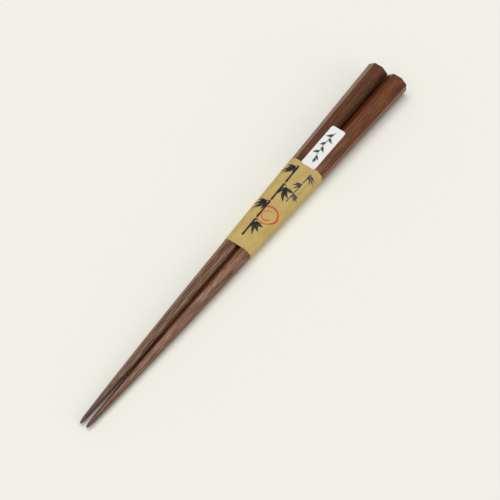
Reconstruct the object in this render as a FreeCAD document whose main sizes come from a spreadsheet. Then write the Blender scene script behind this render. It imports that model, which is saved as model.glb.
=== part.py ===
"""A pair of octagonal wooden chopsticks, held together by a paper band and a small label.

The pair lies on its flats: +Y runs along the sticks from the tips to the butts, X runs across
the pair and +Z is up. The origin is under the middle of the pair, on the surface it lies on.
Lengths are in millimetres, and every "from butt" value is measured along Y from the butts.
"""
import FreeCAD
import Part
import Sketcher
import math
import os

# ---------------------------------------------------------------------------------------------
# Driving dimensions
# ---------------------------------------------------------------------------------------------
SIZES = {
    # Sticks. The straight taper ends at the neck. The tip runs in from there on a parabola, and
    # its last few millimetres are an elliptical nose.
    "stick_length": 235.0,
    "butt_flats": 10.6,
    "neck_flats": 6.3,
    "tip_flats": 1.6,
    "tip_run": 90.0,
    "nose_run": 4.0,
    "nose_flats": 0.5,
    "nose_round": 0.14,
    "butt_edge_break": 0.35,
    # Pair. The inner sides almost touch at the necks and stand a little apart at the butts.
    "butt_gap": 0.5,
    "neck_gap": 0.1,
    # Band: one strip of paper round both sticks, glued with a lap on the underside.
    "paper_thickness": 0.12,
    "paper_slack": 0.1,
    "paper_bend": 1.2,
    "band_from_butt": 67.3,
    "band_width": 54.3,
    "lap_width": 7.0,
    # Label: a sticker across both upper flats, with its lower end over the edge of the band.
    "label_thickness": 0.1,
    "label_width": 7.7,
    "label_offset": 0.8,
    "label_from_butt": 41.9,
    "label_lap": 0.5,
    "label_rise": 2.0,
    "label_corner": 1.2,
    "label_clearance": 0.02,
}

# Cells worked out from the driving dimensions, in this order.
DERIVED = {
    "straight_run": "stick_length - tip_run",
    "flats_slope": "(butt_flats - neck_flats) / straight_run",
    "gap_slope": "(butt_gap - neck_gap) / straight_run",
    "tip_drop": "neck_flats - flats_slope * tip_run - tip_flats",
    "nose_start": "stick_length - nose_run",
    "nose_share": "nose_flats / tip_flats",
    "rest_height": "2 * paper_thickness + paper_slack",
    "wrap_thickness": "paper_slack + paper_thickness",
    "band_foot": "band_from_butt + band_width",
    "label_rise_start": "band_from_butt - label_rise",
    "label_foot": "band_from_butt + label_lap",
}

TAN_EIGHTH = math.tan(math.radians(22.5))
CORNER_CUT = (1 - TAN_EIGHTH) / 2
OFFSET_CUT = 2 - math.sqrt(2)

# Fractions of the way from the neck to the nose, and along the nose, that have a section.
TIP_STATIONS = (0.0, 0.25, 0.5, 0.75, 1.0)
NOSE_STATIONS = (0.0, 0.4, 0.68, 0.86, 0.96, 1.0)

doc = FreeCAD.newDocument("octagonal_chopsticks")
sheet = doc.addObject("Spreadsheet::Sheet", "Sizes")


def fill_sheet():
    """Write the driving dimensions as plain numbers and the derived ones as formulas."""
    for row, (name, value) in enumerate(SIZES.items(), start=1):
        sheet.set(f"A{row}", name)
        sheet.set(f"B{row}", str(value))
        sheet.setAlias(f"B{row}", name)
    first_derived = len(SIZES) + 2
    for row, (name, formula) in enumerate(DERIVED.items(), start=first_derived):
        sheet.set(f"A{row}", name)
        sheet.set(f"B{row}", "=" + formula)
        sheet.setAlias(f"B{row}", name)
    doc.recompute()


def cell(name):
    """Return the expression that reads one sheet cell."""
    return f"Sizes.{name}"


def flats_at(from_butt):
    """Return the expression for the straight taper's width across flats at a distance."""
    return f"({cell('butt_flats')} - {cell('flats_slope')} * ({from_butt}))"


def tip_flats_at(from_butt):
    """Return the expression for the width across flats beyond the neck, before the nose."""
    share = f"(({from_butt}) - {cell('straight_run')}) / {cell('tip_run')}"
    return f"({flats_at(from_butt)} - {cell('tip_drop')} * ({share}) ^ 2)"


def gap_at(from_butt):
    """Return the expression for the gap between the sticks at a distance."""
    return f"({cell('butt_gap')} - {cell('gap_slope')} * ({from_butt}))"


# ---------------------------------------------------------------------------------------------
# Sketch helpers
# ---------------------------------------------------------------------------------------------
def origin_plane(body, role):
    """Return one of the body's own origin planes by its role."""
    for feature in body.Origin.OriginFeatures:
        if feature.Role == role:
            return feature
    raise ValueError(f"{body.Label} has no {role}")


def new_sketch(body, name, role, offset=None):
    """Attach a sketch to an origin plane, moved along the plane's normal by an expression."""
    sketch = body.newObject("Sketcher::SketchObject", name)
    sketch.AttachmentSupport = [(origin_plane(body, role), "")]
    sketch.MapMode = "FlatFace"
    if offset is not None:
        sketch.setExpression("AttachmentOffset.Base.z", offset)
    return sketch


def add_outline(sketch, points):
    """Draw a closed outline of straight lines through the points."""
    count = len(points)
    for index, start in enumerate(points):
        end = points[(index + 1) % count]
        sketch.addGeometry(Part.LineSegment(FreeCAD.Vector(*start, 0), FreeCAD.Vector(*end, 0)))
    for index in range(count):
        sketch.addConstraint(Sketcher.Constraint("Coincident", index, 2, (index + 1) % count, 1))


def drive(sketch, kind, name, references, value, expression):
    """Add a dimension to the sketch, name it and bind it to an expression."""
    index = sketch.addConstraint(Sketcher.Constraint(kind, *references, value))
    sketch.renameConstraint(index, name)
    sketch.setExpression(f"Constraints.{name}", expression)


def eight_sided_outline(sketch, half_width, half_height, cut, centre):
    """Draw a flats-up outline with eight sides: lines 0 to 7, from the bottom, anticlockwise."""
    x, z = centre
    corners = [(x - half_width + cut, z - half_height), (x + half_width - cut, z - half_height),
               (x + half_width, z - half_height + cut), (x + half_width, z + half_height - cut),
               (x + half_width - cut, z + half_height), (x - half_width + cut, z + half_height),
               (x - half_width, z + half_height - cut), (x - half_width, z - half_height + cut)]
    add_outline(sketch, corners)
    for line in (0, 4):
        sketch.addConstraint(Sketcher.Constraint("Horizontal", line))
    for line in (2, 6):
        sketch.addConstraint(Sketcher.Constraint("Vertical", line))
    sketch.addConstraint(Sketcher.Constraint("Perpendicular", 1, 3))
    sketch.addConstraint(Sketcher.Constraint("Parallel", 1, 5))
    sketch.addConstraint(Sketcher.Constraint("Parallel", 3, 7))
    for line in (3, 5, 7):
        sketch.addConstraint(Sketcher.Constraint("Equal", 1, line))


def stick_section(body, name, side, from_butt, flats, line_flats):
    """Sketch one octagon of a stick: its centre keeps to the middle line of the taper."""
    sketch = new_sketch(body, name, "XZ_Plane", from_butt)
    guess = 5.0
    eight_sided_outline(sketch, guess, guess, 2 * guess * CORNER_CUT, (side * guess, guess))
    drive(sketch, "DistanceY", "height", (0, 1, 4, 1), 2 * guess, flats)
    drive(sketch, "DistanceX", "width", (6, 1, 2, 1), 2 * guess, flats)
    drive(sketch, "DistanceX", "cut_across", (1, 1, 1, 2), guess, f"{flats} * {CORNER_CUT}")
    drive(sketch, "DistanceY", "cut_up", (1, 1, 1, 2), guess, f"{flats} * {CORNER_CUT}")
    drive(sketch, "DistanceY", "lift", (-1, 1, 0, 1), 0.1, f"({line_flats} - {flats}) / 2")
    inner_line = 6 if side > 0 else 2
    ends = (-1, 1, inner_line, 1) if side > 0 else (inner_line, 1, -1, 1)
    drive(sketch, "DistanceX", "inset", ends, 0.1, f"({line_flats} - {flats}) / 2")
    return sketch


def hull_section(body, name, from_butt, allowance):
    """Sketch the outline of the pair at a distance, grown all round by an allowance."""
    sketch = new_sketch(body, name, "XZ_Plane", from_butt)
    flats = flats_at(from_butt)
    half_width, half_height, cut = 9.0, 4.5, 2.5
    eight_sided_outline(sketch, half_width, half_height, cut, (0.0, half_height))
    cut_size = f"{flats} * {CORNER_CUT} + ({allowance}) * {OFFSET_CUT}"
    drive(sketch, "DistanceX", "cut_across", (1, 1, 1, 2), cut, cut_size)
    drive(sketch, "DistanceY", "cut_up", (1, 1, 1, 2), cut, cut_size)
    drive(sketch, "DistanceY", "height", (0, 1, 4, 1), 2 * half_height,
          f"{flats} + 2 * ({allowance})")
    width = f"2 * {flats} + {gap_at(from_butt)} + 2 * ({allowance})"
    drive(sketch, "DistanceX", "width", (6, 1, 2, 1), 2 * half_width, width)
    drive(sketch, "DistanceX", "half_width", (-1, 1, 2, 1), half_width, f"({width}) / 2")
    drive(sketch, "DistanceY", "lift", (-1, 1, 0, 1), 0.1,
          f"{cell('rest_height')} - ({allowance})")
    return sketch


def loft(body, kind, name, sections, ruled):
    """Loft through sections in order: kind is AdditiveLoft or SubtractiveLoft."""
    feature = body.newObject(f"PartDesign::{kind}", name)
    feature.Profile = sections[0]
    feature.Sections = sections[1:]
    feature.Ruled = ruled
    feature.Closed = False
    doc.recompute()
    return feature


def edges_where(feature, test):
    """Name the edges of a feature's shape whose end points pass a test."""
    names = []
    for index, edge in enumerate(feature.Shape.Edges, start=1):
        points = [vertex.Point for vertex in edge.Vertexes]
        if len(points) == 2 and test(points):
            names.append(f"Edge{index}")
    return names


def dress(body, kind, name, base, edges, size_property, size):
    """Round or bevel the named edges of a base feature by a sheet size."""
    feature = body.newObject(f"PartDesign::{kind}", name)
    feature.Base = (base, edges)
    feature.setExpression(size_property, size)
    doc.recompute()
    return feature


# ---------------------------------------------------------------------------------------------
# Sticks
# ---------------------------------------------------------------------------------------------
def tip_section(body, side, station):
    """Sketch the octagon at one station between the neck (0) and the start of the nose (1)."""
    run = f"({cell('nose_start')} - {cell('straight_run')})"
    from_butt = f"({cell('straight_run')} + {station} * {run})"
    name = f"{body.Label}_tip_{round(100 * station):03d}"
    return stick_section(body, name, side, from_butt, tip_flats_at(from_butt),
                         flats_at(from_butt))


def nose_section(body, side, station):
    """Sketch the octagon at one station of the nose, where 1 is the point."""
    from_butt = f"({cell('nose_start')} + {station} * {cell('nose_run')})"
    share = f"sqrt(1 - (1 - {cell('nose_share')} ^ 2) * {station ** 2})"
    name = f"{body.Label}_nose_{round(100 * station):03d}"
    return stick_section(body, name, side, from_butt, f"({tip_flats_at(from_butt)} * {share})",
                         flats_at(from_butt))


def make_stick(label, side):
    """Build one stick, on the +X side of the pair (side 1) or on the -X side (side -1)."""
    body = doc.addObject("PartDesign::Body", label)
    body.Label = label
    butt_flats = cell("butt_flats")
    butt = stick_section(body, f"{label}_butt", side, "0", butt_flats, butt_flats)
    tip_sections = [tip_section(body, side, station) for station in TIP_STATIONS]
    nose_sections = [nose_section(body, side, station) for station in NOSE_STATIONS]
    loft(body, "AdditiveLoft", f"{label}_shaft", [butt, tip_sections[0]], True)
    loft(body, "AdditiveLoft", f"{label}_tip", tip_sections, False)
    nose = loft(body, "AdditiveLoft", f"{label}_nose", nose_sections, False)

    length = SIZES["stick_length"]
    point_edges = edges_where(nose, lambda ends: all(end.y < 0.01 - length for end in ends))
    rounded = dress(body, "Fillet", f"{label}_rounded", nose, point_edges,
                    "Radius", cell("nose_round"))
    butt_edges = edges_where(rounded, lambda ends: all(end.y > -0.01 for end in ends))
    dress(body, "Chamfer", f"{label}_eased", rounded, butt_edges,
          "Size", cell("butt_edge_break"))

    body.setExpression("Placement.Base.x", f"{side} * {cell('butt_gap')} / 2")
    body.setExpression("Placement.Base.y", f"{cell('stick_length')} / 2")
    body.setExpression("Placement.Base.z", cell("rest_height"))
    body.Placement.Rotation = FreeCAD.Rotation(FreeCAD.Vector(0, 0, 1), 1)
    body.setExpression("Placement.Rotation.Angle", f"-{side} * atan({cell('gap_slope')} / 2)")
    return body


# ---------------------------------------------------------------------------------------------
# Paper band
# ---------------------------------------------------------------------------------------------
def lap_section(body, name, from_butt):
    """Sketch the outer flap of the glued lap, which runs off into the fold on the +X side."""
    sketch = new_sketch(body, name, "XZ_Plane", from_butt)
    half_lap, fold, layer = 3.5, 6.0, 0.2
    add_outline(sketch, [(-half_lap, 0), (half_lap, 0), (fold, layer), (-half_lap, layer)])
    sketch.addConstraint(Sketcher.Constraint("Horizontal", 0))
    sketch.addConstraint(Sketcher.Constraint("Horizontal", 2))
    sketch.addConstraint(Sketcher.Constraint("Vertical", 3))
    sketch.addConstraint(Sketcher.Constraint("PointOnObject", 0, 1, -1))
    flats = flats_at(from_butt)
    fold_x = f"{flats} * (1 - {CORNER_CUT}) + {gap_at(from_butt)} / 2"
    drive(sketch, "DistanceX", "lap", (0, 1, 0, 2), 2 * half_lap, cell("lap_width"))
    drive(sketch, "DistanceX", "half_lap", (0, 1, -1, 1), half_lap, f"{cell('lap_width')} / 2")
    drive(sketch, "DistanceX", "fold", (-1, 1, 2, 1), fold, f"{fold_x} - {cell('paper_bend')} / 2")
    drive(sketch, "DistanceY", "layer", (3, 2, 3, 1), layer, cell("paper_thickness"))
    return sketch


def ends_on(sketches):
    """Return a test for edges that end in corners of the given sketches."""
    corners = [vertex.Point for sketch in sketches for vertex in sketch.Shape.Vertexes]
    return lambda ends: all(any(end.isEqual(corner, 1e-4) for corner in corners) for end in ends)


def make_band():
    """Build the band: a thin tapering ring with soft bends, and the outer flap of its lap."""
    body = doc.addObject("PartDesign::Body", "paper_band")
    body.Label = "paper_band"
    places = {"head": cell("band_from_butt"), "foot": cell("band_foot")}

    def along(test):
        return lambda ends: abs(ends[0].y - ends[1].y) > SIZES["band_width"] / 2 and test(ends)

    outer = [hull_section(body, f"band_outer_{end}", place, cell("wrap_thickness"))
             for end, place in places.items()]
    block = loft(body, "AdditiveLoft", "band_block", outer, True)
    softened = dress(body, "Fillet", "band_outer_bends", block,
                     edges_where(block, along(ends_on(outer))),
                     "Radius", f"{cell('paper_bend')} + {cell('paper_thickness')}")

    inner = [hull_section(body, f"band_inner_{end}", place, cell("paper_slack"))
             for end, place in places.items()]
    ring = loft(body, "SubtractiveLoft", "band_hollow", inner, True)
    if ring.Shape.Volume >= softened.Shape.Volume:
        raise RuntimeError("the band was not hollowed")
    dress(body, "Fillet", "band_inner_bends", ring, edges_where(ring, along(ends_on(inner))),
          "Radius", cell("paper_bend"))

    flap = [lap_section(body, f"band_lap_{end}", place) for end, place in places.items()]
    loft(body, "AdditiveLoft", "band_lap", flap, True)
    body.setExpression("Placement.Base.y", f"{cell('stick_length')} / 2")
    return body


# ---------------------------------------------------------------------------------------------
# Label
# ---------------------------------------------------------------------------------------------
def make_label():
    """Build the label: a strip along the upper flats that climbs over the edge of the band."""
    body = doc.addObject("PartDesign::Body", "paper_label")
    body.Label = "paper_label"
    sketch = new_sketch(body, "label_profile", "YZ_Plane")
    seat = f"{cell('rest_height')} + {cell('label_clearance')}"
    climb = cell("wrap_thickness")
    stations = [("head", cell("label_from_butt"), "0"), ("rise", cell("label_rise_start"), "0"),
                ("edge", cell("band_from_butt"), climb), ("foot", cell("label_foot"), climb)]

    guess_z, guess_rise, layer = 9.0, 0.2, SIZES["label_thickness"]
    guess_y = [-40.0, -65.0, -67.0, -68.0]
    under = [(y, guess_z + guess_rise * (index > 1)) for index, y in enumerate(guess_y)]
    over = [(y, z + layer) for y, z in reversed(under)]
    add_outline(sketch, under + over)
    last = len(stations) - 1
    for index, (name, place, extra) in enumerate(stations):
        geometry, end = (index, 1)
        y, z = under[index]
        drive(sketch, "DistanceX", f"{name}_place", (geometry, end, -1, 1), -y, place)
        drive(sketch, "DistanceY", f"{name}_height", (-1, 1, geometry, end), z,
              f"{seat} + {flats_at(place)} + {extra}")
    for index in (last, 2 * last + 1):
        sketch.addConstraint(Sketcher.Constraint("Vertical", index))
    for step in range(1, last):
        sketch.addConstraint(Sketcher.Constraint("Vertical", step, 1, 2 * last + 1 - step, 1))
    for step in range(last + 1):
        drive(sketch, "DistanceY", f"layer_{step}", (step, 1, 2 * last + 1 - step, 1), layer,
              cell("label_thickness"))

    strip = body.newObject("PartDesign::Pad", "label_strip")
    strip.Profile = sketch
    strip.Midplane = True
    strip.setExpression("Length", cell("label_width"))
    doc.recompute()

    def upright(ends):
        level = abs(ends[0].y - ends[1].y) < 1e-6 and abs(ends[0].x - ends[1].x) < 1e-6
        outermost = min(abs(ends[0].y - limit) for limit in
                        (strip.Shape.BoundBox.YMin, strip.Shape.BoundBox.YMax)) < 1e-6
        return level and outermost

    dress(body, "Fillet", "label_corners", strip, edges_where(strip, upright),
          "Radius", cell("label_corner"))
    body.setExpression("Placement.Base.x", cell("label_offset"))
    body.setExpression("Placement.Base.y", f"{cell('stick_length')} / 2")
    return body


# ---------------------------------------------------------------------------------------------
# Build, check and write
# ---------------------------------------------------------------------------------------------
def check_document(bodies):
    """Stop if any object failed to compute or any piece is not one sound solid."""
    for item in doc.Objects:
        if "Invalid" in item.State or "Error" in item.State:
            raise RuntimeError(f"{item.Label} failed to compute: {item.State}")
    for body in bodies:
        shape = body.Shape
        if shape.isNull() or not shape.isValid() or len(shape.Solids) != 1:
            raise RuntimeError(f"{body.Label} is not one sound solid")


def write_parts(bodies):
    """Write each piece as a STEP file named after it."""
    os.makedirs("parts", exist_ok=True)
    for body in bodies:
        body.Shape.exportStep(os.path.join("parts", f"{body.Label}.step"))


def main():
    """Build the four pieces, check them and write them."""
    fill_sheet()
    bodies = [make_stick("chopstick_left", -1), make_stick("chopstick_right", 1),
              make_band(), make_label()]
    doc.recompute()
    check_document(bodies)
    write_parts(bodies)
    for body in bodies:
        box = body.Shape.optimalBoundingBox(False)
        print(f"{body.Label}: volume {body.Shape.Volume:.1f} mm3, "
              f"{box.XLength:.2f} x {box.YLength:.2f} x {box.ZLength:.2f} mm, "
              f"lowest {box.ZMin:.3f}")


main()
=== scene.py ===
"""The looks of a pair of octagonal wooden chopsticks in a printed paper band.

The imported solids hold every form: two tapering eight-sided sticks, the folded band and the
label. This script gives them their finishes, paints a plain bamboo pattern on the papers, and
sets up a pale floor, soft light and a camera. Lengths are in metres unless a name ends in _mm.
X runs across the pair, Y along it from the tips to the butts, and Z up.
"""
import logging
import math
import random
from dataclasses import dataclass, replace
from enum import Enum
from typing import Any

import bpy
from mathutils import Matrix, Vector


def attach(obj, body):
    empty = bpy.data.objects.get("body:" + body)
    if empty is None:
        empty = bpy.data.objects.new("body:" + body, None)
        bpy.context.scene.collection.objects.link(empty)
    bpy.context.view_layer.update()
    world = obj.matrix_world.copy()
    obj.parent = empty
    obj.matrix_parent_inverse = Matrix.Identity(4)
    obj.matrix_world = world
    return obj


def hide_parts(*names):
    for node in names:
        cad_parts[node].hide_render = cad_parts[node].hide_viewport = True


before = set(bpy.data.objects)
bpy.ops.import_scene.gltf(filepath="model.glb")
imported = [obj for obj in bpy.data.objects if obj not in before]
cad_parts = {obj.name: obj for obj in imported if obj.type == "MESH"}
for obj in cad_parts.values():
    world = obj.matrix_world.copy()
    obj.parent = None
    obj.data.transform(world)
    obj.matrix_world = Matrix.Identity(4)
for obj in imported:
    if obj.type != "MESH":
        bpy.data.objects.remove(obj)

LOG = logging.getLogger("chopsticks")
MM = 0.001
BODY = "root"

Pair = tuple[float, float]
Triple = tuple[float, float, float]
Colour = tuple[float, float, float, float]
Node = bpy.types.Node
Socket = bpy.types.NodeSocket
Material = bpy.types.Material
Piece = bpy.types.Object


class Side(Enum):
    """The left or the right of the pair or of a sheet, seen from above with the tips near."""

    LEFT = -1
    RIGHT = 1


# ---- Node expressions ----
class Value:
    """A number-valued socket that adds Math nodes when it is used in an expression."""

    def __init__(self, tree: "Tree", socket: Socket) -> None:
        """Keep the tree that new nodes go into and the socket that holds the value."""
        self.tree = tree
        self.socket = socket

    def _math(self, operation: str, *values: Any) -> "Value":
        """Add one Math node whose inputs are numbers or Values, and return its result."""
        return self.tree.make("ShaderNodeMath", {"operation": operation}, *values)

    def __add__(self, other: Any) -> "Value":
        """Return self + other."""
        return self._math("ADD", self, other)

    def __radd__(self, other: Any) -> "Value":
        """Return other + self."""
        return self._math("ADD", other, self)

    def __sub__(self, other: Any) -> "Value":
        """Return self - other."""
        return self._math("SUBTRACT", self, other)

    def __rsub__(self, other: Any) -> "Value":
        """Return other - self."""
        return self._math("SUBTRACT", other, self)

    def __mul__(self, other: Any) -> "Value":
        """Return self * other."""
        return self._math("MULTIPLY", self, other)

    def __rmul__(self, other: Any) -> "Value":
        """Return other * self."""
        return self._math("MULTIPLY", other, self)

    def __truediv__(self, other: Any) -> "Value":
        """Return self / other."""
        return self._math("DIVIDE", self, other)

    def __rtruediv__(self, other: Any) -> "Value":
        """Return other / self."""
        return self._math("DIVIDE", other, self)

    def __pow__(self, other: Any) -> "Value":
        """Return self ** other."""
        return self._math("POWER", self, other)

    def __rpow__(self, other: Any) -> "Value":
        """Return other ** self."""
        return self._math("POWER", other, self)

    def sine(self) -> "Value":
        """Return the sine of the value, taken as radians."""
        return self._math("SINE", self)

    def step(self, low: float, high: float) -> "Value":
        """Ease the value into a mask.

        Args:
            low: the value at which the mask is 0.
            high: the value at which it is 1, above or below low.

        Returns:
            The mask, with a smooth step between the two.
        """
        rising = low < high
        ends = (low, high, 0.0, 1.0) if rising else (high, low, 1.0, 0.0)
        return self.tree.make("ShaderNodeMapRange", {"interpolation_type": "SMOOTHSTEP"},
                              self, *ends)

    def lifted(self, floor: float) -> "Value":
        """Return the mask raised so that it runs from floor to 1."""
        return floor + (1.0 - floor) * self


class Tree:
    """A node tree with one method that adds any node."""

    MIX_INPUTS = (0, 6, 7)
    MIX_RESULT = 2

    def __init__(self, tree: bpy.types.NodeTree) -> None:
        """Wrap a shader or geometry node tree."""
        self.tree = tree

    def node(self, kind: str, settings: dict[str, Any] | None = None, *values: Any,
             **named: Any) -> Node:
        """Add a node, set it up and connect it.

        Args:
            kind: the node's type, such as ShaderNodeTexNoise.
            settings: properties set before the inputs, such as a Math node's operation.
            values: inputs in order, each a constant, a Value, a socket or a node.
            named: inputs by name, with underscores for spaces.

        Returns:
            The new node.
        """
        node = self.tree.nodes.new(kind)
        for name, setting in (settings or {}).items():
            setattr(node, name, setting)
        for socket, value in zip(node.inputs, values):
            self._feed(socket, value)
        for name, value in named.items():
            self._feed(node.inputs[name.replace("_", " ")], value)
        return node

    def make(self, kind: str, settings: dict[str, Any] | None = None, *values: Any,
             **named: Any) -> Value:
        """Add a node as node() does and return its first output as a Value."""
        return Value(self, self.node(kind, settings, *values, **named).outputs[0])

    def _feed(self, socket: Socket, value: Any) -> None:
        """Give an input its value.

        Args:
            socket: the input.
            value: a constant to set on it, or a socket, a Value or a node to link to it. A
                node stands for its first output.
        """
        if isinstance(value, Value):
            value = value.socket
        elif isinstance(value, Node):
            value = value.outputs[0]
        if isinstance(value, Socket):
            self.tree.links.new(value, socket)
        else:
            socket.default_value = value

    def blend(self, factor: Any, first: Any, second: Any) -> Socket:
        """Mix two colours.

        Args:
            factor: how much of the second shows, from 0 to 1.
            first: the colour below, a constant or a socket.
            second: the colour laid over it.

        Returns:
            The mixed colour's socket.
        """
        node = self.node("ShaderNodeMix", {"data_type": "RGBA", "blend_type": "MIX"})
        for index, value in zip(self.MIX_INPUTS, (factor, first, second)):
            self._feed(node.inputs[index], value)
        return node.outputs[self.MIX_RESULT]


@dataclass(frozen=True)
class Grain:
    """A noise with its own waves per millimetre across, along and up.

    Detail counts its finer octaves and roughness is their strength. The pattern is moved by
    shift, in waves, and turned by radians, which lets a grain run out of a face.
    """

    waves: Triple
    detail: float
    roughness: float
    shift: Triple = (0.0, 0.0, 0.0)
    turn: Triple = (0.0, 0.0, 0.0)


@dataclass(frozen=True)
class Wash:
    """A thin wash: it comes in between two values of a field and grows to its share."""

    reach: Pair
    share: float

    def over(self, ground: Value) -> Value:
        """Return how much of the wash shows where the field has its value."""
        return ground.step(*self.reach) * self.share


@dataclass(frozen=True)
class Shine:
    """How dull a finish is, by how much that rises over a field, and its index."""

    roughness: float
    spread: float
    ior: float = 1.45

    def over(self, ground: Value) -> dict[str, Any]:
        """Return the shader's inputs where the field has its value."""
        return {"Roughness": self.roughness + self.spread * ground, "IOR": self.ior}


class Surface(Tree):
    """A material's shader tree, read in object coordinates."""

    def __init__(self, name: str) -> None:
        """Start a material with an empty tree and its object coordinates in millimetres.

        Args:
            name: the material's name.
        """
        self.material = bpy.data.materials.new(name)
        self.material.use_nodes = True
        super().__init__(self.material.node_tree)
        self.tree.nodes.clear()
        coordinates = self.node("ShaderNodeTexCoord").outputs
        self.normal = coordinates["Normal"]
        self.place = self.node("ShaderNodeVectorMath", {"operation": "SCALE"},
                               coordinates["Object"], Scale=1 / MM)
        split = self.node("ShaderNodeSeparateXYZ", None, self.place)
        self.across, self.along, self.up = (Value(self, socket) for socket in split.outputs)

    def noise(self, grain: Grain) -> Value:
        """Add a noise, about 0 to 1 with a mean of one half.

        Args:
            grain: the noise's scales, its fineness and its place.

        Returns:
            The noise.
        """
        mapped = self.node("ShaderNodeMapping", {"vector_type": "POINT"}, self.place,
                           grain.shift, grain.turn, grain.waves)
        return self.make("ShaderNodeTexNoise", {"noise_dimensions": "3D"},
                         Vector=mapped, Scale=1.0, Detail=grain.detail,
                         Roughness=grain.roughness)

    def facing(self, across: float, up: float) -> Value:
        """Measure how squarely a face looks in a direction square to the sticks.

        Args:
            across: the direction's part to the right.
            up: the direction's part upwards.

        Returns:
            1 where the face looks straight that way and 0 where it is edge on.
        """
        reach = math.hypot(across, up)
        node = self.node("ShaderNodeVectorMath", {"operation": "DOT_PRODUCT"}, self.normal,
                         (across / reach, 0.0, up / reach))
        return Value(self, node.outputs["Value"])

    def bump(self, height: Value, depth_mm: float) -> Node:
        """Turn a height field into a normal: depth_mm is the height of a value of 1."""
        return self.node("ShaderNodeBump", None, Strength=1.0, Distance=depth_mm * MM,
                         Height=height)

    def finish(self, **sockets: Any) -> Material:
        """Close the tree with one Principled shader.

        Args:
            sockets: the shader's inputs by name, with underscores for spaces.

        Returns:
            The finished material.
        """
        shader = self.node("ShaderNodeBsdfPrincipled", None, **sockets)
        self.node("ShaderNodeOutputMaterial", None, shader)
        return self.material


def tone(red: int, green: int, blue: int) -> Colour:
    """Turn a colour's display values into the linear ones that a shader takes.

    Args:
        red: the red value, 0 to 255.
        green: the green value.
        blue: the blue value.

    Returns:
        The colour, fully opaque.
    """
    def linear(value: int) -> float:
        """Undo the display curve of one channel."""
        share = value / 255
        return share / 12.92 if share <= 0.04045 else ((share + 0.055) / 1.055) ** 2.4
    return (linear(red), linear(green), linear(blue), 1.0)


# ---- Finishes ----
@dataclass(frozen=True)
class Taper:
    """How the sticks' width across flats and the place of their middle run along Y."""

    flats_mm: float = 7.115
    flats_slope: float = 0.0297
    middle_mm: float = 3.645
    middle_slope: float = 0.0162
    nose_drop_mm: float = 2.03
    nose_mm: Pair = (-27.5, -117.5)

    def aside(self, wood: Surface, side: Side) -> Value:
        """Measure how far a point lies to the right of its stick's middle.

        Args:
            wood: the stick's surface.
            side: which of the two sticks it is.

        Returns:
            The distance as a share of the width across flats, 0.5 on the right flat.
        """
        nose = wood.along.step(*self.nose_mm) * self.nose_drop_mm
        flats = self.flats_slope * wood.along + self.flats_mm - nose
        middle = self.middle_slope * wood.along + self.middle_mm
        return (wood.across - middle * side.value) / flats


@dataclass(frozen=True)
class Plank:
    """One stick's own wood: its colours, and how strongly they lie on its faces.

    The inner faces look towards the other stick and the outer ones away from it. The inner
    colour is painted shade; it begins inner_from of the width away from the stick's middle.
    The outer colour is a painted reflection on the left stick and painted shade on the right.
    The pale colour is painted sheen and ridge highlight. The flank is the part of the inner
    faces that lies in the groove, and its colour is painted shade.
    """

    name: str
    side: Side
    shift: float
    heart: Colour
    warm: Colour
    dark: Colour
    # Painted sheen on the flats and painted highlight on the ridge.
    pale: Colour
    # Painted shade on the inner faces.
    inner: Colour
    # Painted light and shade on the outer faces: a painted reflection on the left stick,
    # painted shade on the right.
    outer: Colour
    inner_from: float
    inner_shade_share: float
    outer_lighting_share: float
    groove_shade_share: float
    # Painted shade in the groove.
    groove_shade: Colour = tone(26, 11, 6)

    @property
    def inward(self) -> int:
        """Return 1 where the other stick is to the right and -1 where it is to the left."""
        return -self.side.value


@dataclass(frozen=True)
class PaintedSheen:
    """Painted sheen on one stick: pale streaks on its flats and a painted highlight along a
    ridge.

    The sheen sets in at start_mm along the stick, is full from full_mm on, and spares the
    nose.
    On the flats it is strongest where they look upwards and to the given side, and its painted
    highlight takes the ridge to the right of the top flat, a little even above that length.
    """

    share: float
    side: float
    reach: Pair
    # The strength of the painted highlight along the ridge.
    ridge_share: float
    start_mm: float
    full_mm: float = -12.0
    nose_mm: Pair = (-118.0, -80.0)
    ridge_rise: Pair = (0.13, 0.23)
    ridge_fall: Pair = (0.38, 0.28)
    ridge_above: float = 0.2

    def length(self, wood: Surface) -> Value:
        """Return the mask of the length that carries the painted sheen."""
        return wood.along.step(self.start_mm, self.full_mm) * wood.along.step(*self.nose_mm)

    def flats(self, wood: Surface, length: Value) -> Value:
        """Return the mask of the painted sheen on the flats within that length."""
        return length * wood.facing(self.side, 1.0).step(*self.reach) * self.share

    def ridge(self, aside: Value, length: Value) -> Value:
        """Return the mask of the painted highlight along the ridge."""
        ridge = aside.step(*self.ridge_rise) * aside.step(*self.ridge_fall)
        return ridge * length.lifted(self.ridge_above) * self.ridge_share


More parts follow.
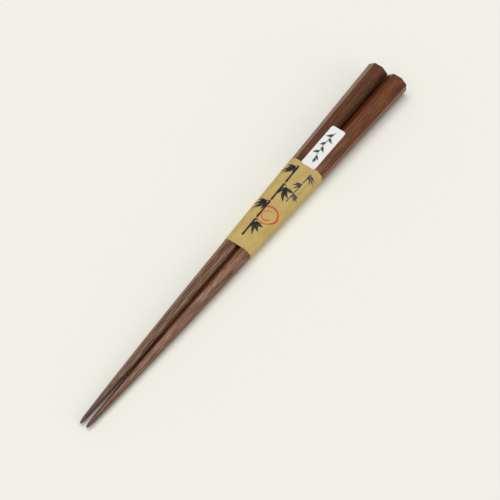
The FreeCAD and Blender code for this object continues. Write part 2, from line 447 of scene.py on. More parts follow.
@dataclass(frozen=True)
class OiledWood:
    """Dark red-brown wood with growth lines and long open pores, rubbed with a little oil.

    Its colours lie over each other in the order in which build blends them: the grain, the
    painted sheen on the flats, the painted shade of the inner faces, the painted highlight on
    the ridge, the painted light and shade of the outer faces, the painted shade in the groove,
    the tip and the pores.
    """

    plank: Plank
    # Painted sheen on the flats and painted highlight on the ridge.
    painted_sheen: PaintedSheen
    broad: Grain = Grain((0.25, 0.01, 0.25), 2.0, 0.5)
    streak: Grain = Grain((1.3, 0.03, 1.3), 4.0, 0.65)
    fibre: Grain = Grain((2.3, 0.055, 2.3), 3.0, 0.6)
    pore: Grain = Grain((3.4, 0.1, 3.4), 3.0, 0.6)
    run_out: Triple = (0.012, 0.0, 0.016)
    broad_wash: Wash = Wash((0.36, 0.64), 0.6)
    streak_wash: Wash = Wash((0.52, 0.38), 0.7)
    fibre_wash: Wash = Wash((0.52, 0.64), 0.55)
    pith_mm: Pair = (-17.0, -23.0)
    line_spacing_mm: float = 1.4
    line_drift: float = 0.012
    line_wander_mm: float = 4.0
    line_reach: Pair = (-0.1, 1.0)
    line_share: float = 0.4
    # Painted sheen on the flats and painted highlight on the ridge, both following the fibres.
    sheen_fibres: Pair = (0.42, 0.62)
    sheen_between: float = 0.1
    highlight_fibres: Pair = (0.4, 0.6)
    highlight_between: float = 0.4
    # Painted shade on the inner faces, with light streaks showing through.
    inner_blur: float = 0.04
    inner_streaks: Wash = Wash((0.4, 0.58), 0.3)
    # Painted light and shade on the outer faces.
    outer_reach: Pair = (0.85, 0.98)
    # Painted shade in the groove.
    flank_reach: Pair = (0.37, 0.47)
    flank_facing: Pair = (0.3, 0.6)
    flank_fade_mm: Pair = (-112.0, -72.0)
    tip_wash: Wash = Wash((-96.0, -116.0), 0.4)
    pore_reach: Pair = (0.53, 0.64)
    pore_share: float = 0.7
    pore_depth_mm: float = 0.02
    fibre_height: float = 0.4
    shine: Shine = Shine(0.2, 0.12, 1.4)

    def build(self) -> Material:
        """Lay the wood's colours over each other.

        Returns:
            The material.
        """
        plank, painted_sheen = self.plank, self.painted_sheen
        wood = Surface(plank.name)
        broad, streak, fibre, pore = (self.sawn(wood, grain) for grain in (
            self.broad, self.streak, self.fibre, self.pore))
        pores = pore.step(*self.pore_reach)
        length = painted_sheen.length(wood)
        aside = Taper().aside(wood, plank.side)
        inward = aside * plank.inward
        sheen_streaks = fibre.step(*self.sheen_fibres).lifted(self.sheen_between)
        ridge = fibre.step(*self.highlight_fibres).lifted(self.highlight_between)
        outer = wood.facing(-plank.inward, 1.0).step(*self.outer_reach)

        colour = plank.heart
        for mask, over in (
                (self.broad_wash.over(broad), plank.warm),
                (self.growth_lines(wood, broad) * self.line_share, plank.dark),
                (self.streak_wash.over(streak), plank.dark),
                (self.fibre_wash.over(fibre), plank.warm),
                # Painted sheen on the flats.
                (sheen_streaks * painted_sheen.flats(wood, length), plank.pale),
                # Painted shade on the inner faces.
                (self.inner_face_shade(inward, streak), plank.inner),
                # Painted highlight along the ridge.
                (ridge * painted_sheen.ridge(aside, length), plank.pale),
                # Painted light and shade on the outer faces.
                (outer * plank.outer_lighting_share, plank.outer),
                # Painted shade in the groove.
                (self.groove_shade(wood, inward), plank.groove_shade),
                (self.tip_wash.over(wood.along), plank.dark),
                (pores * self.pore_share, plank.dark)):
            colour = wood.blend(mask, colour, over)
        height = fibre * self.fibre_height - pores
        return wood.finish(Base_Color=colour, **self.shine.over(fibre),
                           Normal=wood.bump(height, self.pore_depth_mm))

    def sawn(self, wood: Surface, grain: Grain) -> Value:
        """Return a noise as it lies in this plank, running a little out of the faces."""
        shift = (self.plank.shift, self.plank.shift, 0.0)
        return wood.noise(replace(grain, shift=shift, turn=self.run_out))

    def growth_lines(self, wood: Surface, wander: Value) -> Value:
        """Draw the yearly lines: rings about a pith that lies outside the stick.

        Args:
            wood: the stick's surface.
            wander: a broad noise that lets the rings wander.

        Returns:
            The mask of the dark lines.
        """
        aside = wood.across - self.pith_mm[0]
        below = wood.up - self.pith_mm[1]
        reach = (aside * aside + below * below) ** 0.5
        wandered = reach + self.line_drift * wood.along + self.line_wander_mm * wander
        turns = wandered * (2 * math.pi / self.line_spacing_mm)
        return turns.sine().step(*self.line_reach)

    def inner_face_shade(self, inward: Value, streak: Value) -> Value:
        """Paint shade on the faces that look towards the other stick.

        Args:
            inward: how far a point lies from the stick's middle towards the other stick.
            streak: the noise whose light streaks show through.

        Returns:
            The mask of the painted inner shade.
        """
        start = self.plank.inner_from
        inner = inward.step(start - self.inner_blur, start + self.inner_blur)
        return inner * (1 - self.inner_streaks.over(streak)) * self.plank.inner_shade_share

    def groove_shade(self, wood: Surface, inward: Value) -> Value:
        """Paint shade on the flank in the groove, where the other stick keeps light out.

        Args:
            wood: the stick's surface.
            inward: how far a point lies from the stick's middle towards the other stick.

        Returns:
            The mask of the painted groove shade, which fades out where the tips part.
        """
        groove_shade = inward.step(*self.flank_reach) * self.plank.groove_shade_share
        groove_shade = groove_shade * wood.facing(self.plank.inward, 0.0).step(*self.flank_facing)
        return groove_shade * wood.along.step(*self.flank_fade_mm)


@dataclass(frozen=True)
class KraftPaper:
    """Thin golden-brown wrapping paper with faint clouds, fibres and flecks."""

    base: Colour = tone(191, 165, 96)
    shade: Colour = tone(172, 144, 78)
    fibre: Colour = tone(206, 186, 124)
    clouds: Grain = Grain((0.35, 0.16, 0.35), 4.0, 0.6, (2.0, 0.0, 0.0))
    threads: Grain = Grain((2.4, 0.55, 2.4), 4.0, 0.65, (0.0, 5.0, 0.0), (0.0, 0.0, 0.3))
    flecks: Grain = Grain((3.2, 1.6, 3.2), 2.0, 0.5, (9.0, 0.0, 2.0), (0.0, 0.0, -0.5))
    cloud_wash: Wash = Wash((0.62, 0.34), 0.55)
    thread_wash: Wash = Wash((0.52, 0.75), 0.4)
    fleck_wash: Wash = Wash((0.66, 0.74), 0.35)
    thread_height: float = 0.7
    cloud_height: float = 0.3
    relief_mm: float = 0.03
    shine: Shine = Shine(0.62, 0.1)

    def build(self) -> Material:
        """Lay clouds, fibres and flecks over the paper's colour.

        Returns:
            The material.
        """
        paper = Surface("kraft_paper")
        clouds, threads, flecks = (paper.noise(grain) for grain in (
            self.clouds, self.threads, self.flecks))
        colour = paper.blend(self.cloud_wash.over(clouds), self.base, self.shade)
        colour = paper.blend(self.thread_wash.over(threads), colour, self.fibre)
        colour = paper.blend(self.fleck_wash.over(flecks), colour, self.shade)
        height = threads * self.thread_height + clouds * self.cloud_height
        return paper.finish(Base_Color=colour, **self.shine.over(threads),
                            Normal=paper.bump(height, self.relief_mm))


@dataclass(frozen=True)
class CoatedLabel:
    """Smooth white label stock."""

    base: Colour = tone(236, 236, 230)
    cool: Colour = tone(226, 227, 224)
    clouds: Grain = Grain((0.8, 0.8, 0.8), 3.0, 0.6)
    relief_mm: float = 0.01
    shine: Shine = Shine(0.42, 0.1)

    def build(self) -> Material:
        """Cloud the label's white a little.

        Returns:
            The material.
        """
        paper = Surface("white_label")
        clouds = paper.noise(self.clouds)
        return paper.finish(Base_Color=paper.blend(clouds, self.base, self.cool),
                            **self.shine.over(clouds),
                            Normal=paper.bump(clouds, self.relief_mm))


@dataclass(frozen=True)
class BrushInk:
    """Ink laid on with a soft brush: thin where the brush ran dry."""

    name: str
    full: Colour
    thin: Colour
    wash: Grain = Grain((1.1, 0.7, 1.1), 3.0, 0.65, (3.0, 1.0, 0.0))
    dry: Wash = Wash((0.45, 0.72), 0.8)
    shine: Shine = Shine(0.6, 0.1)

    def build(self) -> Material:
        """Thin the ink where the brush ran dry.

        Returns:
            The material.
        """
        ink = Surface(self.name)
        wash = ink.noise(self.wash)
        return ink.finish(Base_Color=ink.blend(self.dry.over(wash), self.full, self.thin),
                          **self.shine.over(wash))


class Ink(Enum):
    """The inks that the papers are printed with."""

    BLACK = BrushInk("black_ink", full=tone(26, 24, 22), thin=tone(74, 64, 48))
    RED = BrushInk("red_ink", full=tone(206, 58, 42), thin=tone(214, 108, 74))
    GREY = BrushInk("grey_ink", full=tone(58, 58, 60), thin=tone(120, 118, 120))


# ---- Brush strokes ----
@dataclass(frozen=True)
class Stroke:
    """One brush stroke: its places on the sheet and its full width at each of them."""

    places_mm: tuple[Pair, ...]
    widths_mm: tuple[float, ...]


def leaf(base_mm: Pair, heading: float, length_mm: float, width_mm: float,
         bend: float = 0.12) -> Stroke:
    """Make one pointed leaf as a single press of the brush.

    Args:
        base_mm: where the leaf leaves its twig, across and down the sheet.
        heading: direction in degrees, 0 straight down the sheet and positive to the right.
        length_mm: length from twig to point.
        width_mm: greatest width.
        bend: sideways bow as a share of the length.

    Returns:
        The stroke.
    """
    angle = math.radians(heading)
    forward = (math.sin(angle), math.cos(angle))
    side = (forward[1], -forward[0])
    outline = ((0.0, 0.12), (0.12, 0.5), (0.32, 1.0), (0.55, 0.86), (0.78, 0.42), (1.0, 0.04))
    places = []
    for share, _ in outline:
        bow = bend * length_mm * math.sin(math.pi * share)
        places.append(tuple(base_mm[axis] + forward[axis] * share * length_mm
                            + side[axis] * bow for axis in (0, 1)))
    return Stroke(tuple(places), tuple(width_mm * width for _, width in outline))


@dataclass(frozen=True)
class Ring:
    """One round brush stroke that thins towards its end.

    It starts and sweeps by degrees about a centre on the sheet. The brush lands at a share of
    the full width, swells at once, and has lost a share of it where the stroke ends.
    """

    centre_mm: Pair
    radius_mm: float
    width_mm: float
    start: float
    sweep: float
    places: int = 28
    wobble: float = 0.03
    landing: float = 0.35
    swelling: float = 8.0
    loss: float = 0.75
    loss_power: float = 1.5

    def stroke(self) -> Stroke:
        """Sweep the brush round.

        Returns:
            The stroke.
        """
        places, widths = [], []
        for index in range(self.places):
            share = index / (self.places - 1)
            angle = math.radians(self.start + self.sweep * share)
            reach = self.radius_mm * (1 + self.wobble * math.sin(2 * math.pi * share))
            places.append((self.centre_mm[0] + reach * math.cos(angle),
                           self.centre_mm[1] + reach * math.sin(angle)))
            thinned = 1 - self.loss * share ** self.loss_power
            swollen = min(1.0, self.landing + self.swelling * share)
            widths.append(self.width_mm * thinned * swollen)
        return Stroke(tuple(places), tuple(widths))


@dataclass(frozen=True, kw_only=True)
class Plant:
    """A painted plant that runs down the sheet. Its bow carries its middle to the right."""

    top_mm: Pair
    foot_mm: Pair
    width_mm: float
    leaf_length_mm: float
    leaf_width_mm: float
    seed: int
    bow_mm: float = 0.0
    leaf_bend: float = -0.1

    def place(self, share: float) -> Pair:
        """Return the place at a share of the way from top to foot."""
        bow = self.bow_mm * math.sin(math.pi * share)
        return (self.top_mm[0] + (self.foot_mm[0] - self.top_mm[0]) * share + bow,
                self.top_mm[1] + (self.foot_mm[1] - self.top_mm[1]) * share)


@dataclass(frozen=True, kw_only=True)
class Culm(Plant):
    """One bamboo stem: lengths between joints, with a spray of leaves at each joint.

    The outline gives places along one length and the stem's width there, the twig its reach
    sideways and down at its middle and end, and the fan each leaf's heading in degrees and
    its share of the full length. Chance draws from the spreads.
    """

    lengths: int
    sides: tuple[Side, ...]
    joint_gap: float = 0.03
    stem_bow: float = 0.12
    outline: tuple[Pair, ...] = ((0.0, 0.7), (0.05, 1.25), (0.3, 0.9), (0.7, 0.85),
                                 (0.95, 1.2), (1.0, 0.7))
    twig: tuple[Pair, Pair] = ((0.6, 0.35), (1.0, 0.9))
    twig_reach: float = 0.2
    twig_width: float = 0.35
    twig_spread: Pair = (0.8, 1.3)
    fan: tuple[Pair, ...] = ((80.0, 0.6), (48.0, 0.9), (22.0, 1.0), (-8.0, 0.72))
    heading_spread: Pair = (-8.0, 8.0)
    length_spread: Pair = (0.85, 1.12)
    width_spread: Pair = (0.8, 1.1)

    def strokes(self) -> list[Stroke]:
        """Paint the stem and its leaves from the head of the sheet down.

        Returns:
            The strokes, length by length.
        """
        chance = random.Random(self.seed)
        strokes = []
        for index in range(self.lengths):
            start, end = (self.place((index + share) / self.lengths)
                          for share in (self.joint_gap, 1 - self.joint_gap))
            bow = self.stem_bow * self.width_mm * chance.uniform(-1.0, 1.0)
            places = tuple(
                (start[0] + (end[0] - start[0]) * share + bow * math.sin(math.pi * share),
                 start[1] + (end[1] - start[1]) * share) for share, _ in self.outline)
            widths = tuple(self.width_mm * width for _, width in self.outline)
            strokes.append(Stroke(places, widths))
            strokes += self.spray(self.place(index / self.lengths),
                                  self.sides[index % len(self.sides)], chance)
        return strokes

    def spray(self, joint_mm: Pair, side: Side, chance: random.Random) -> list[Stroke]:
        """Paint the twig and the leaves that hang from one joint.

        Args:
            joint_mm: the joint's place on the sheet.
            side: the side to which they hang.
            chance: the seeded source of small differences.

        Returns:
            The twig first, then the leaves that fan out from its end.
        """
        away = side.value
        reach = self.twig_reach * self.leaf_length_mm * chance.uniform(*self.twig_spread)
        middle, end = ((joint_mm[0] + away * aside * reach, joint_mm[1] + down * reach)
                       for aside, down in self.twig)
        twig_width = self.twig_width * self.width_mm
        strokes = [Stroke((joint_mm, middle, end), (twig_width,) * 3)]
        for heading, share in self.fan:
            turned = away * (heading + chance.uniform(*self.heading_spread))
            length = self.leaf_length_mm * share * chance.uniform(*self.length_spread)
            width = self.leaf_width_mm * chance.uniform(*self.width_spread)
            strokes.append(leaf(end, turned, length, width, self.leaf_bend * away))
        return strokes


@dataclass(frozen=True, kw_only=True)
class Sprig(Plant):
    """One bent twig with single leaves to both sides by turns, and one at its foot.

    The twig loses a share of its width with each span, and the leaves grow shorter towards
    its foot.
    """

    leaves: int
    spans: int = 6
    head_width: float = 1.1
    span_loss: float = 0.1
    first_leaf: float = 0.35
    heading_spread: Pair = (36.0, 56.0)
    length_spread: Pair = (0.85, 1.1)
    shortening: float = 0.25
    foot_heading: float = 6.0
    foot_share: float = 0.7

    def strokes(self) -> list[Stroke]:
        """Paint the twig, its side leaves and the leaf at its foot.

        Returns:
            The strokes in that order.
        """
        chance = random.Random(self.seed)
        ranks = range(self.spans + 1)
        places = tuple(self.place(rank / self.spans) for rank in ranks)
        widths = tuple(self.width_mm * (self.head_width - self.span_loss * rank)
                       for rank in ranks)
        strokes = [Stroke(places, widths)]
        for index in range(self.leaves):
            away = (Side.LEFT, Side.RIGHT)[index % 2].value
            share = (index + self.first_leaf) / self.leaves
            heading = away * chance.uniform(*self.heading_spread)
            length = (self.leaf_length_mm * chance.uniform(*self.length_spread)
                      * (1 - self.shortening * share))
            strokes.append(leaf(self.place(share), heading, length, self.leaf_width_mm,
                                self.leaf_bend * away))
        strokes.append(leaf(self.foot_mm, self.foot_heading,
                            self.foot_share * self.leaf_length_mm, self.leaf_width_mm))
        return strokes


# ---- Geometry Nodes ----
class PieceTree(Tree):
    """A Geometry Nodes tree that turns the lines of a curve into a piece of one material."""

    def __init__(self, name: str, inputs: dict[str, str]) -> None:
        """Start the tree with inputs for the lines, its own sizes and the material.

        Args:
            name: the tree's name.
            inputs: the kinds of its own inputs by name, such as Float.
        """
        super().__init__(bpy.data.node_groups.new(name, "GeometryNodeTree"))
        kinds = {"Geometry": "Geometry", **inputs, "Material": "Material"}
        for title, kind in kinds.items():
            self.tree.interface.new_socket(title, in_out="INPUT",
                                           socket_type=f"NodeSocket{kind}")
        self.tree.interface.new_socket("Geometry", in_out="OUTPUT",
                                       socket_type="NodeSocketGeometry")
        self.given = self.node("NodeGroupInput").outputs

    def close(self, geometry: Node) -> None:
        """End the tree with one plain mesh of the material.

        Args:
            geometry: the node that gives the geometry.
        """
        real = self.node("GeometryNodeRealizeInstances", None, geometry)
        dressed = self.node("GeometryNodeSetMaterial", None, real,
                            Material=self.given["Material"])
        self.node("NodeGroupOutput", None, dressed)

    def piece(self, name: str, lines: bpy.types.Curve, values: dict[str, Any]) -> Piece:
        """Run the tree on a curve and keep the result as a plain mesh.

        Args:
            name: the new piece's name.
            lines: the curve.
            values: the tree's inputs by name.

        Returns:
            The new piece, riding with the object.
        """
        holder = bpy.data.objects.new(name, lines)
        bpy.context.collection.objects.link(holder)
        modifier = holder.modifiers.new(self.tree.name, "NODES")
        modifier.node_group = self.tree
        for item in self.tree.interface.items_tree:
            if item.in_out == "INPUT" and item.name in values:
                modifier[item.identifier] = values[item.name]
        graph = bpy.context.evaluated_depsgraph_get()
        mesh = bpy.data.meshes.new_from_object(holder.evaluated_get(graph))
        holder.modifiers.remove(modifier)
        bpy.data.objects.remove(holder)
        piece = bpy.data.objects.new(name, mesh)
        bpy.context.collection.objects.link(piece)
        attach(piece, BODY)
        return piece


@dataclass(frozen=True)
class Touch:
    """How a print is laid down: the film's thickness, its ragged edge and their seed."""

    seed: float
    film_mm: float = 0.04
    ragged: float = 0.35
    spacing_mm: float = 0.15


class BrushTree(PieceTree):
    """The tree that lays painted lines on paper as thin closed films of ink."""

    EDGE_WAVES_PER_MM = 1.6
    EDGE_DETAIL = 2.0
    RIBBON_POINTS = 5
    WELD_MM = 0.0001
    DROP_FROM_MM = 20.0
    SUNK_MM = 0.01

    def __init__(self) -> None:
        """Mix the inks and build the tree once: every print sets its own inputs."""
        super().__init__("brush_strokes", {"Spacing": "Float", "Film": "Float",
                                           "Ragged": "Float", "Seed": "Float",
                                           "Paper": "Object"})
        self.inks = {ink: ink.value.build() for ink in Ink}
        self.close(self._drape(self._film()))

    def _film(self) -> Node:
        """Sweep ribbons of ragged width along the lines and thicken them into closed films.

        Returns:
            The node that gives the films, flat at a height of 0.
        """
        fine = self.node("GeometryNodeResampleCurve", {"mode": "LENGTH"},
                         Curve=self.given["Geometry"], Length=self.given["Spacing"])
        level = self.node("GeometryNodeSetCurveNormal", {"mode": "Z_UP"}, fine)
        noise = self.make("ShaderNodeTexNoise", {"noise_dimensions": "4D"},
                          Vector=self.node("GeometryNodeInputPosition"),
                          W=self.given["Seed"], Scale=self.EDGE_WAVES_PER_MM / MM,
                          Detail=self.EDGE_DETAIL)
        radius = self.make("GeometryNodeInputRadius")
        ragged = radius * (1 + (noise - 0.5) * Value(self, self.given["Ragged"]))
        edge = self.node("GeometryNodeCurvePrimitiveLine", None, (1, 0, 0), (-1, 0, 0))
        across = self.node("GeometryNodeResampleCurve", {"mode": "COUNT"}, edge,
                           Count=self.RIBBON_POINTS)
        ribbon = self.node("GeometryNodeCurveToMesh", None, level, across, Scale=ragged)
        rise = self.node("ShaderNodeCombineXYZ", None, Z=self.given["Film"])
        risen = self.node("GeometryNodeExtrudeMesh", None, ribbon, Offset=rise,
                          Offset_Scale=1.0, Individual=False)
        both = self.node("GeometryNodeJoinGeometry")
        for part in (risen, self.node("GeometryNodeFlipFaces", None, ribbon)):
            self._feed(both.inputs[0], part)
        return self.node("GeometryNodeMergeByDistance", None, both,
                         Distance=self.WELD_MM * MM)

    def _drape(self, film: Node) -> Node:
        """Drop the flat films onto the paper, each a little sunk into it.

        Args:
            film: the node that gives the flat films.

        Returns:
            The node that gives them as high above the paper as they were above 0, less the
            sinking.
        """
        paper = self.node("GeometryNodeObjectInfo", {"transform_space": "RELATIVE"},
                          self.given["Paper"]).outputs["Geometry"]
        split = self.node("ShaderNodeSeparateXYZ", None,
                          self.node("GeometryNodeInputPosition")).outputs
        above = self.node("ShaderNodeCombineXYZ", None, split[0], split[1],
                          self.DROP_FROM_MM * MM)
        found = self.node("GeometryNodeRaycast", {"data_type": "FLOAT"}, paper,
                          Source_Position=above, Ray_Direction=(0, 0, -1),
                          Ray_Length=2 * self.DROP_FROM_MM * MM).outputs
        height = Value(self, split[2]) - self.SUNK_MM * MM
        stand = self.node("ShaderNodeVectorMath", {"operation": "SCALE"},
                          found["Hit Normal"], Scale=height)
        target = self.node("ShaderNodeVectorMath", {"operation": "ADD"},
                           found["Hit Position"], stand)
        return self.node("GeometryNodeSetPosition", None, film, Position=target)

    def paint(self, name: str, paper: str, strokes: list[Stroke], ink: Ink,
              touch: Touch) -> Piece:
        """Paint strokes on a paper piece as one plain mesh object.

        Args:
            name: the new piece's name.
            paper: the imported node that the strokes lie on.
            strokes: the strokes in painting order, measured from the sheet's head.
            ink: the ink to use.
            touch: how it is laid down.

        Returns:
            The painted piece, riding with the object.
        """
        curve = bpy.data.curves.new(name, "CURVE")
        curve.dimensions = "3D"
        head = max(vertex.co.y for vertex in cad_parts[paper].data.vertices)
        for stroke in strokes:
            spline = curve.splines.new("NURBS")
            spline.points.add(len(stroke.places_mm) - 1)
            for point, place, width in zip(spline.points, stroke.places_mm,
                                           stroke.widths_mm):
                point.co = (place[0] * MM, head - place[1] * MM, 0.0, 1.0)
                point.radius = width * MM / 2
            spline.order_u = 3
            spline.use_endpoint_u = True
        return self.piece(name, curve, {
            "Spacing": touch.spacing_mm * MM, "Film": touch.film_mm * MM,
            "Ragged": touch.ragged, "Seed": touch.seed, "Paper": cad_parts[paper],
            "Material": self.inks[ink]})


class RidgeTree(PieceTree):
    """The tree that sweeps an eight-sided bar with eased ridges along one line.

    The line's radius is half the width across flats.
    """

    SIDES = 8

    def __init__(self) -> None:
        """Build the tree once for both sticks."""
        super().__init__("eight_sided_bar", {"Ridge": "Float", "Steps": "Int"})
        half_turn = math.pi / self.SIDES
        ring = self.node("GeometryNodeCurvePrimitiveCircle", {"mode": "RADIUS"},
                         Resolution=self.SIDES, Radius=1 / math.cos(half_turn))
        flat_up = self.node("GeometryNodeTransform", None, ring, Rotation=(0, 0, half_turn))
        eased = self.node("GeometryNodeFilletCurve", {"mode": "POLY"}, flat_up,
                          Count=self.given["Steps"], Radius=self.given["Ridge"],
                          Limit_Radius=True)
        level = self.node("GeometryNodeSetCurveNormal", {"mode": "Z_UP"},
                          self.given["Geometry"])
        radius = self.node("GeometryNodeInputRadius")
        self.close(self.node("GeometryNodeCurveToMesh", None, level, eased, Scale=radius,
                             Fill_Caps=True))


# ---- Pieces of the object ----
def dress(node: str, material: Material) -> Piece:
    """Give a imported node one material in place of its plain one.

    Args:
        node: the node's name.
        material: its finish.

    Returns:
        The dressed node.
    """
    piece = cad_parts[node]
    piece.data.materials.clear()
    piece.data.materials.append(material)
    return piece


@dataclass
class Stick:
    """One wooden stick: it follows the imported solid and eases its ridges.

    The ridge's radius is a share of half the width across flats. Corners closer than the ring
    spacing belong to one ring, and the end rings are cut a little inside the solid.
    """

    node: str
    wood: OiledWood
    ridge_share: float = 0.07
    ridge_steps: int = 3
    ring_spacing_mm: float = 0.05
    end_inset_mm: float = 0.02
    sharp_angle: float = 34.0
    flat_weight: int = 100

    def stations(self) -> list[float]:
        """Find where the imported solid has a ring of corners.

        Returns:
            The rings' places along Y, from the tip to the butt.
        """
        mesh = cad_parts[self.node].data
        rings: list[float] = []
        for y in sorted(vertex.co.y for vertex in mesh.vertices):
            if not rings or y - rings[-1] > self.ring_spacing_mm * MM:
                rings.append(y)
        middle = (rings[0] + rings[-1]) / 2
        inset = self.end_inset_mm * MM
        return [y + math.copysign(inset, middle - y) for y in rings]

    def section(self, y: float) -> tuple[Vector, float]:
        """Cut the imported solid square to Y.

        Args:
            y: where to cut.

        Returns:
            The cut's middle and its width across flats.
        """
        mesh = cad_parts[self.node].data
        cuts = []
        for edge in mesh.edges:
            low, high = sorted((mesh.vertices[index].co for index in edge.vertices),
                               key=lambda point: point.y)
            if low.y <= y < high.y:
                cuts.append(low.lerp(high, (y - low.y) / (high.y - low.y)))
        (left, right), (bottom, top) = ((min(row), max(row)) for row in (
            [point[axis] for point in cuts] for axis in (0, 2)))
        return Vector(((left + right) / 2, y, (bottom + top) / 2)), top - bottom

    def build(self, tree: RidgeTree) -> Piece:
        """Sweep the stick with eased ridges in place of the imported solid.

        Args:
            tree: the tree that sweeps eight-sided bars.

        Returns:
            The dressed stick.
        """
        sections = [self.section(y) for y in self.stations()]
        line = bpy.data.curves.new(self.node, "CURVE")
        line.dimensions = "3D"
        spline = line.splines.new("POLY")
        spline.points.add(len(sections) - 1)
        for point, (middle, flats) in zip(spline.points, sections):
            point.co = (*middle, 1.0)
            point.radius = flats / 2
        piece = tree.piece(f"{self.node}_eased", line, {
            "Ridge": self.ridge_share, "Steps": self.ridge_steps,
            "Material": self.wood.build()})
        self.shade(piece)
        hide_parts(self.node)
        return piece

    def shade(self, piece: Piece) -> None:
        """Shade the ridges softly and keep the flats flat and the butt's edge crisp.

        Args:
            piece: the swept stick.
        """
        piece.data.shade_smooth()
        piece.data.set_sharp_from_angle(angle=math.radians(self.sharp_angle))
        weighted = piece.modifiers.new("flats", "WEIGHTED_NORMAL")
        weighted.keep_sharp = True
        weighted.weight = self.flat_weight


@dataclass
class Sticks:
    """The two wooden sticks, sawn from different planks."""

    # In each plank the pale colour is painted sheen and ridge highlight, the inner-face and
    # groove colours are painted shade, and the outer-face colour is a painted reflection on
    # the left stick and painted shade on the right.
    left: OiledWood = OiledWood(
        Plank("left_wood", Side.LEFT, shift=3.0, heart=tone(90, 45, 12),
              warm=tone(112, 60, 18), dark=tone(50, 26, 11), pale=tone(186, 150, 121),
              inner=tone(54, 33, 22), outer=tone(188, 143, 106), inner_from=0.207,
              inner_shade_share=0.29, outer_lighting_share=0.22, groove_shade_share=0.57),
        PaintedSheen(share=0.74, side=1.0, reach=(0.54, 1.0), ridge_share=0.36, start_mm=48.0))
    right: OiledWood = OiledWood(
        Plank("right_wood", Side.RIGHT, shift=41.0, heart=tone(108, 54, 14),
              warm=tone(136, 73, 24), dark=tone(60, 29, 11), pale=tone(183, 150, 124),
              inner=tone(84, 31, 0), outer=tone(60, 29, 11), inner_from=0.125,
              inner_shade_share=1.0, outer_lighting_share=0.28, groove_shade_share=0.5),
        PaintedSheen(share=0.62, side=0.2, reach=(0.62, 0.9), ridge_share=0.45, start_mm=95.0))

    def build(self) -> list[Piece]:
        """Build both sticks and return them."""
        tree = RidgeTree()
        return [Stick("chopstick_left", self.left).build(tree),
                Stick("chopstick_right", self.right).build(tree)]


@dataclass
class Band:
    """The paper band with its painted bamboo and red ring."""

    node: str = "paper_band"
    finish: KraftPaper = KraftPaper()
    tall: Culm = Culm(top_mm=(-2.4, 2.6), foot_mm=(-1.5, 49.0), lengths=4, width_mm=1.0,
                      leaf_length_mm=7.8, leaf_width_mm=1.8, seed=4,
                      sides=(Side.LEFT, Side.RIGHT))
    short: Culm = Culm(top_mm=(4.9, 3.4), foot_mm=(4.3, 22.5), lengths=3, width_mm=0.55,
                       leaf_length_mm=4.3, leaf_width_mm=1.2, seed=9,
                       sides=(Side.RIGHT, Side.LEFT))
    sun: Ring = Ring((1.7, 33.5), radius_mm=4.9, width_mm=0.95, start=200.0, sweep=335.0)
    core: Ring = Ring((1.7, 33.5), radius_mm=0.55 * 4.9, width_mm=0.6, start=20.0,
                      sweep=280.0)
    sun_touch: Touch = Touch(seed=3.0, film_mm=0.028, ragged=0.6)

    def build(self, brush: BrushTree) -> list[Piece]:
        """Dress the band and paint it.

        Args:
            brush: the tree that paints.

        Returns:
            The band and its prints.
        """
        band = dress(self.node, self.finish.build())
        rings = [self.sun.stroke(), self.core.stroke()]
        return [band,
                brush.paint("band_red_ring", self.node, rings, Ink.RED, self.sun_touch),
                brush.paint("band_tall_bamboo", self.node, self.tall.strokes(), Ink.BLACK,
                            Touch(seed=7.0)),
                brush.paint("band_short_bamboo", self.node, self.short.strokes(), Ink.GREY,
                            Touch(seed=5.0))]


@dataclass
class Label:
    """The white label with one small painted sprig."""

    node: str = "paper_label"
    finish: CoatedLabel = CoatedLabel()
    sprig: Sprig = Sprig(top_mm=(0.7, 3.0), foot_mm=(0.9, 20.0), leaves=6, bow_mm=-0.8,
                         width_mm=0.42, leaf_length_mm=4.1, leaf_width_mm=1.5, seed=12)

    def build(self, brush: BrushTree) -> list[Piece]:
        """Dress the label and paint it.

        Args:
            brush: the tree that paints.

        Returns:
            The label and its print.
        """
        label = dress(self.node, self.finish.build())
        return [label, brush.paint("label_sprig", self.node, self.sprig.strokes(), Ink.GREY,
                                   Touch(seed=11.0))]


# ---- Studio ----
def direction(azimuth: float, elevation: float) -> Vector:
    """Return the direction from the object towards a bearing given in degrees."""
    turn, rise = math.radians(azimuth), math.radians(elevation)
    return Vector((math.sin(turn) * math.cos(rise), -math.cos(turn) * math.cos(rise),
                   math.sin(rise)))


@dataclass(frozen=True)
class Lamp:
    """One soft lamp far away: its bearing and its spread are in degrees."""

    name: str
    strength: float
    azimuth: float
    elevation: float
    spread: float = 40.0

    def hang(self) -> None:
        """Add the lamp to the scene."""
        data = bpy.data.lights.new(self.name, "SUN")
        data.energy = self.strength
        data.angle = math.radians(self.spread)
        lamp = bpy.data.objects.new(self.name, data)
        bpy.context.collection.objects.link(lamp)
        lamp.rotation_mode = "QUATERNION"
        towards = direction(self.azimuth, self.elevation)
        lamp.rotation_quaternion = (-towards).to_track_quat("-Z", "Y")


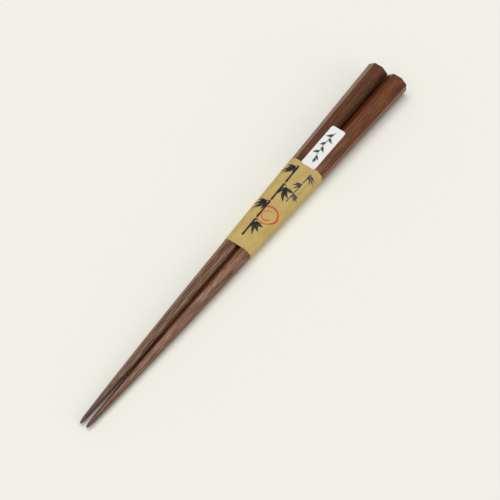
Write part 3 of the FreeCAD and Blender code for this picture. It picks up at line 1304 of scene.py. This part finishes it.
@dataclass
class Studio:
    """A pale round floor with its rim swept up, soft light from overhead, and the camera."""

    floor_colour: Colour = tone(240, 239, 229)
    floor_roughness: float = 0.9
    floor_radius: float = 5.0
    floor_sides: int = 96
    floor_drop_mm: float = 0.04
    rim_height: float = 0.75
    rim_steps: int = 10
    sky_colour: Colour = (1.0, 1.0, 1.0, 1.0)
    sky_strength: float = 0.4
    lamps: tuple[Lamp, ...] = (
        Lamp("overhead_left", strength=1.26, azimuth=-90.0, elevation=75.0),
        Lamp("overhead_right", strength=0.54, azimuth=130.0, elevation=75.0),
        Lamp("side_fill", strength=0.55, azimuth=90.0, elevation=20.0))
    azimuth: float = 36.45
    elevation: float = 57.0
    distance: float = 1.1
    lens_mm: float = 172.45
    sensor_mm: float = 36.0
    clip: Pair = (0.05, 50.0)
    aim_mm: Triple = (5.02, -1.14, 4.0)

    def build(self) -> None:
        """Set up the floor, the light and the camera."""
        self.lay_floor()
        self.light()
        self.point_camera()
        bpy.context.scene.view_settings.view_transform = "Standard"

    def lay_floor(self) -> None:
        """Lay the floor just under the object."""
        sides = self.floor_sides
        turns = (math.pi / 2 * step / self.rim_steps for step in range(self.rim_steps + 1))
        rings = [(self.floor_radius + self.rim_height * math.sin(turn),
                  self.rim_height * (1 - math.cos(turn)) - self.floor_drop_mm * MM)
                 for turn in turns]
        corners = [(reach * math.cos(2 * math.pi * side / sides),
                    reach * math.sin(2 * math.pi * side / sides), height)
                   for reach, height in rings for side in range(sides)]
        faces = [tuple(range(sides))]
        for ring_start in range(0, sides * self.rim_steps, sides):
            for side in range(sides):
                near, far = ring_start + side, ring_start + (side + 1) % sides
                faces.append((near, near + sides, far + sides, far))
        mesh = bpy.data.meshes.new("floor")
        mesh.from_pydata(corners, [], faces)
        mesh.shade_smooth()
        floor = bpy.data.objects.new("floor", mesh)
        bpy.context.collection.objects.link(floor)
        surface = Surface("pale_floor")
        mesh.materials.append(surface.finish(Base_Color=self.floor_colour,
                                             Roughness=self.floor_roughness,
                                             Specular_IOR_Level=0.0))

    def light(self) -> None:
        """Light the room with an even sky and soft lamps."""
        world = bpy.data.worlds.new("studio")
        world.use_nodes = True
        background = world.node_tree.nodes["Background"]
        background.inputs["Color"].default_value = self.sky_colour
        background.inputs["Strength"].default_value = self.sky_strength
        bpy.context.scene.world = world
        for lamp in self.lamps:
            lamp.hang()

    def point_camera(self) -> None:
        """Place the camera on its bearing and aim it."""
        data = bpy.data.cameras.new("camera")
        data.lens = self.lens_mm
        data.sensor_width = self.sensor_mm
        data.clip_start, data.clip_end = self.clip
        camera = bpy.data.objects.new("camera", data)
        bpy.context.collection.objects.link(camera)
        aim = Vector(self.aim_mm) * MM
        back = direction(self.azimuth, self.elevation)
        camera.location = aim + back * self.distance
        camera.rotation_mode = "QUATERNION"
        camera.rotation_quaternion = (-back).to_track_quat("-Z", "Y")
        bpy.context.scene.camera = camera


def main() -> None:
    """Build the scene and report each piece."""
    logging.basicConfig(level=logging.INFO, format="%(name)s: %(message)s")
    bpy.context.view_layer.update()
    brush = BrushTree()
    for pieces in (Sticks().build(), Band().build(brush), Label().build(brush)):
        for piece in pieces:
            LOG.info("%s has %d faces", piece.name, len(piece.data.polygons))
    Studio().build()


if __name__ == "__main__":
    main()
